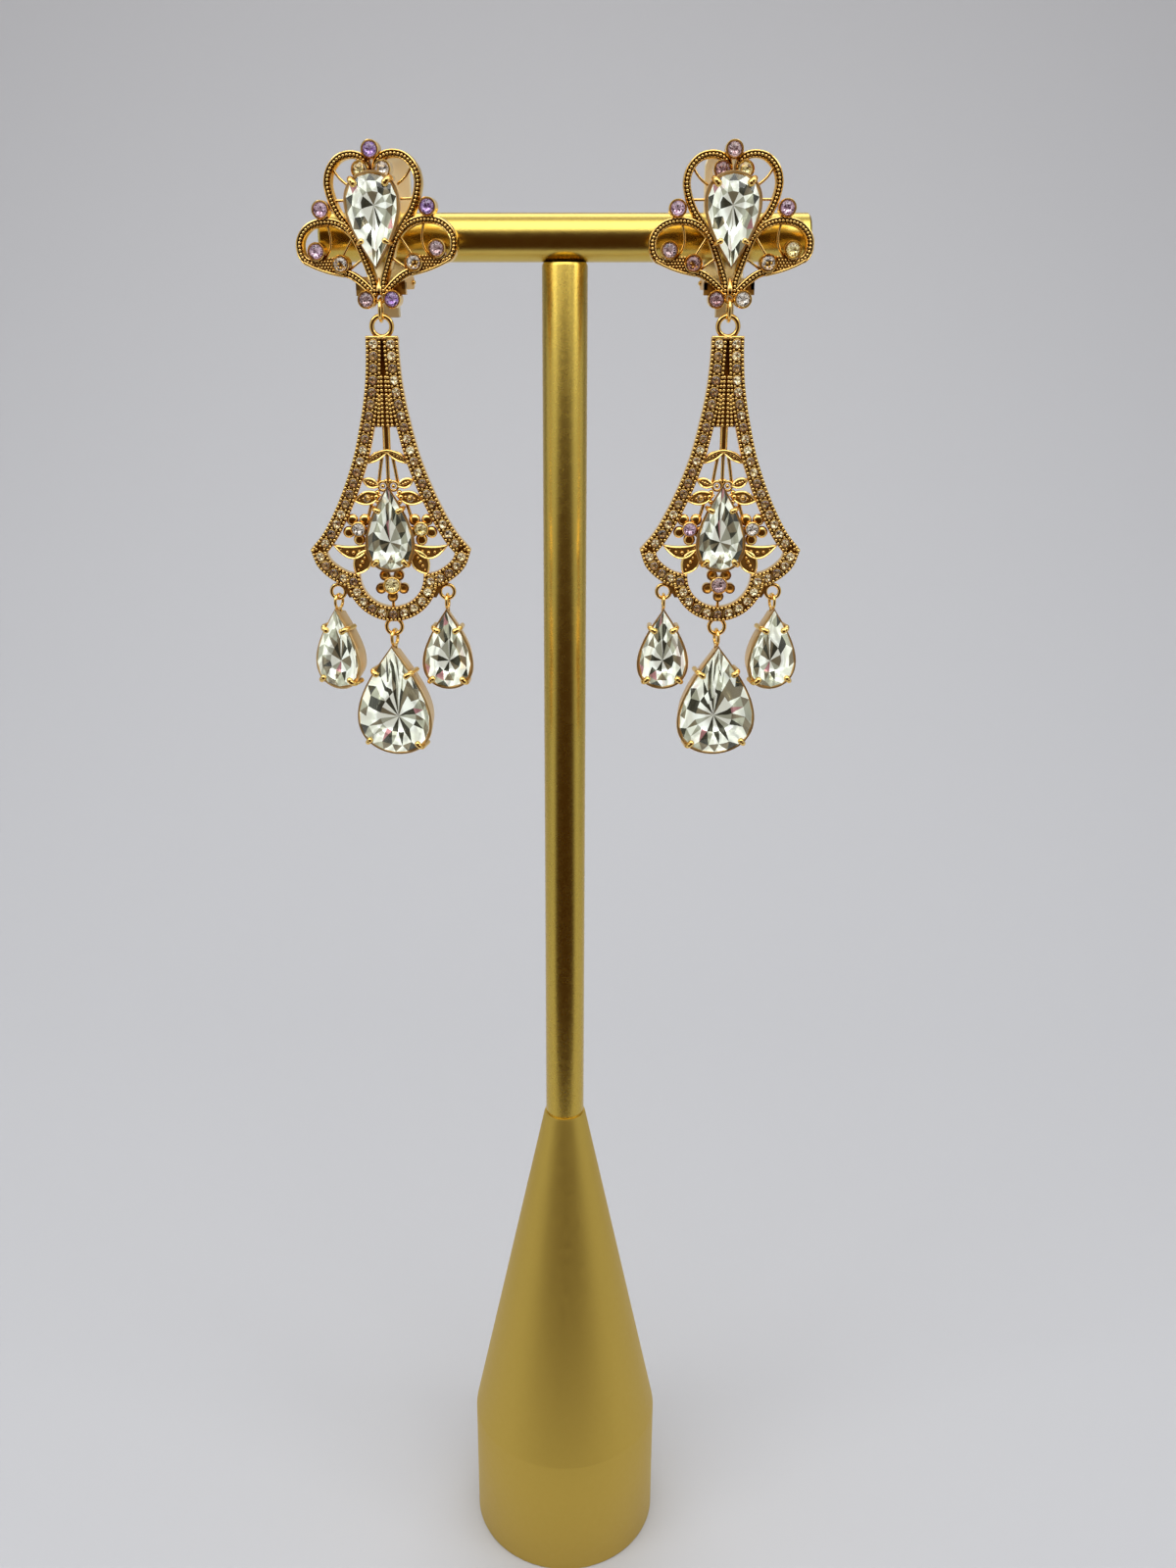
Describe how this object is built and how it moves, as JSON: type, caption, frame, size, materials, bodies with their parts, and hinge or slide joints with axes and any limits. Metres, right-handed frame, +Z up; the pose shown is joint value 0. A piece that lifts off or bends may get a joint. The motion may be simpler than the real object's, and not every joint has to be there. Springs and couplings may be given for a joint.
{
  "type": "pair of chandelier earrings on a t-bar stand",
  "caption": "Pair of gold chandelier clip earrings with clear pear-shaped stones and small smoky round stones, hung on the crossbar of a slim gold T-bar stand with a conical foot.",
  "frame": {"origin": "middle of the flat underside of the stand's foot", "axes": "+Z up, -Y towards the viewer, +X along the crossbar to the viewer's right"},
  "size_m": [0.0809, 0.0374, 0.2698],
  "materials": {
    "stand_gold": "satin",
    "earring_gold": "polished",
    "clip_metal": "polished",
    "clear_crystal": "polished",
    "round_crystal": "polished"
  },
  "bodies": {
    "root": {"stand_base": "stand_gold", "stand_post": "stand_gold", "stand_bar": "stand_gold", "top_frame_left": "earring_gold", "top_stone_left": "clear_crystal", "crown_stone_left": "round_crystal", "under_crown_l_stone_left": "round_crystal", "under_crown_r_stone_left": "round_crystal", "shoulder_l_stone_left": "round_crystal", "shoulder_r_stone_left": "round_crystal", "wing_outer_l_stone_left": "round_crystal", "wing_outer_r_stone_left": "round_crystal", "wing_inner_l_stone_left": "round_crystal", "wing_inner_r_stone_left": "round_crystal", "foot_l_stone_left": "round_crystal", "foot_r_stone_left": "round_crystal", "top_frame_right": "earring_gold", "top_stone_right": "clear_crystal", "crown_stone_right": "round_crystal", "under_crown_l_stone_right": "round_crystal", "under_crown_r_stone_right": "round_crystal", "shoulder_l_stone_right": "round_crystal", "shoulder_r_stone_right": "round_crystal", "wing_outer_l_stone_right": "round_crystal", "wing_outer_r_stone_right": "round_crystal", "wing_inner_l_stone_right": "round_crystal", "wing_inner_r_stone_right": "round_crystal", "foot_l_stone_right": "round_crystal", "foot_r_stone_right": "round_crystal"},
    "link_left": {"jump_ring_left": "earring_gold"},
    "drop_left": {"drop_frame_left": "earring_gold", "drop_stone_left": "clear_crystal", "flower_l_stone_left": "round_crystal", "flower_r_stone_left": "round_crystal", "flower_foot_stone_left": "round_crystal", "outer_setting_left": "earring_gold", "outer_stone_left": "clear_crystal", "inner_setting_left": "earring_gold", "inner_stone_left": "clear_crystal", "middle_setting_left": "earring_gold", "middle_stone_left": "clear_crystal"},
    "lever_left": {"clip_lever_left": "clip_metal"},
    "link_right": {"jump_ring_right": "earring_gold"},
    "drop_right": {"drop_frame_right": "earring_gold", "drop_stone_right": "clear_crystal", "flower_l_stone_right": "round_crystal", "flower_r_stone_right": "round_crystal", "flower_foot_stone_right": "round_crystal", "outer_setting_right": "earring_gold", "outer_stone_right": "clear_crystal", "inner_setting_right": "earring_gold", "inner_stone_right": "clear_crystal", "middle_setting_right": "earring_gold", "middle_stone_right": "clear_crystal"},
    "lever_right": {"clip_lever_right": "clip_metal"}
  },
  "joints": [
    {"name": "side_swing_left", "type": "hinge", "parent": "root", "child": "link_left", "pos_m": [-0.02845, -0.0063, 0.2474], "axis": [0, 1, 0], "range_deg": [-8, 25]},
    {"name": "front_swing_left", "type": "hinge", "parent": "link_left", "child": "drop_left", "pos_m": [-0.02845, -0.0063, 0.2449], "axis": [1, 0, 0], "range_deg": [-75, 60]},
    {"name": "clip_left", "type": "hinge", "parent": "root", "child": "lever_left", "pos_m": [-0.02776, -0.00024, 0.2497], "axis": [0.9923, -0.1218, 0.0227], "range_deg": [-45, 0], "stiffness_Nm_per_rad": 0.004},
    {"name": "side_swing_right", "type": "hinge", "parent": "root", "child": "link_right", "pos_m": [0.02535, -0.0063, 0.2474], "axis": [0, 1, 0], "range_deg": [-25, 8]},
    {"name": "front_swing_right", "type": "hinge", "parent": "link_right", "child": "drop_right", "pos_m": [0.02535, -0.0063, 0.2449], "axis": [1, 0, 0], "range_deg": [-75, 60]},
    {"name": "clip_right", "type": "hinge", "parent": "root", "child": "lever_right", "pos_m": [0.02534, -0.0002, 0.2497], "axis": [1, 0, 0.0052], "range_deg": [-45, 0], "stiffness_Nm_per_rad": 0.004}
  ]
}
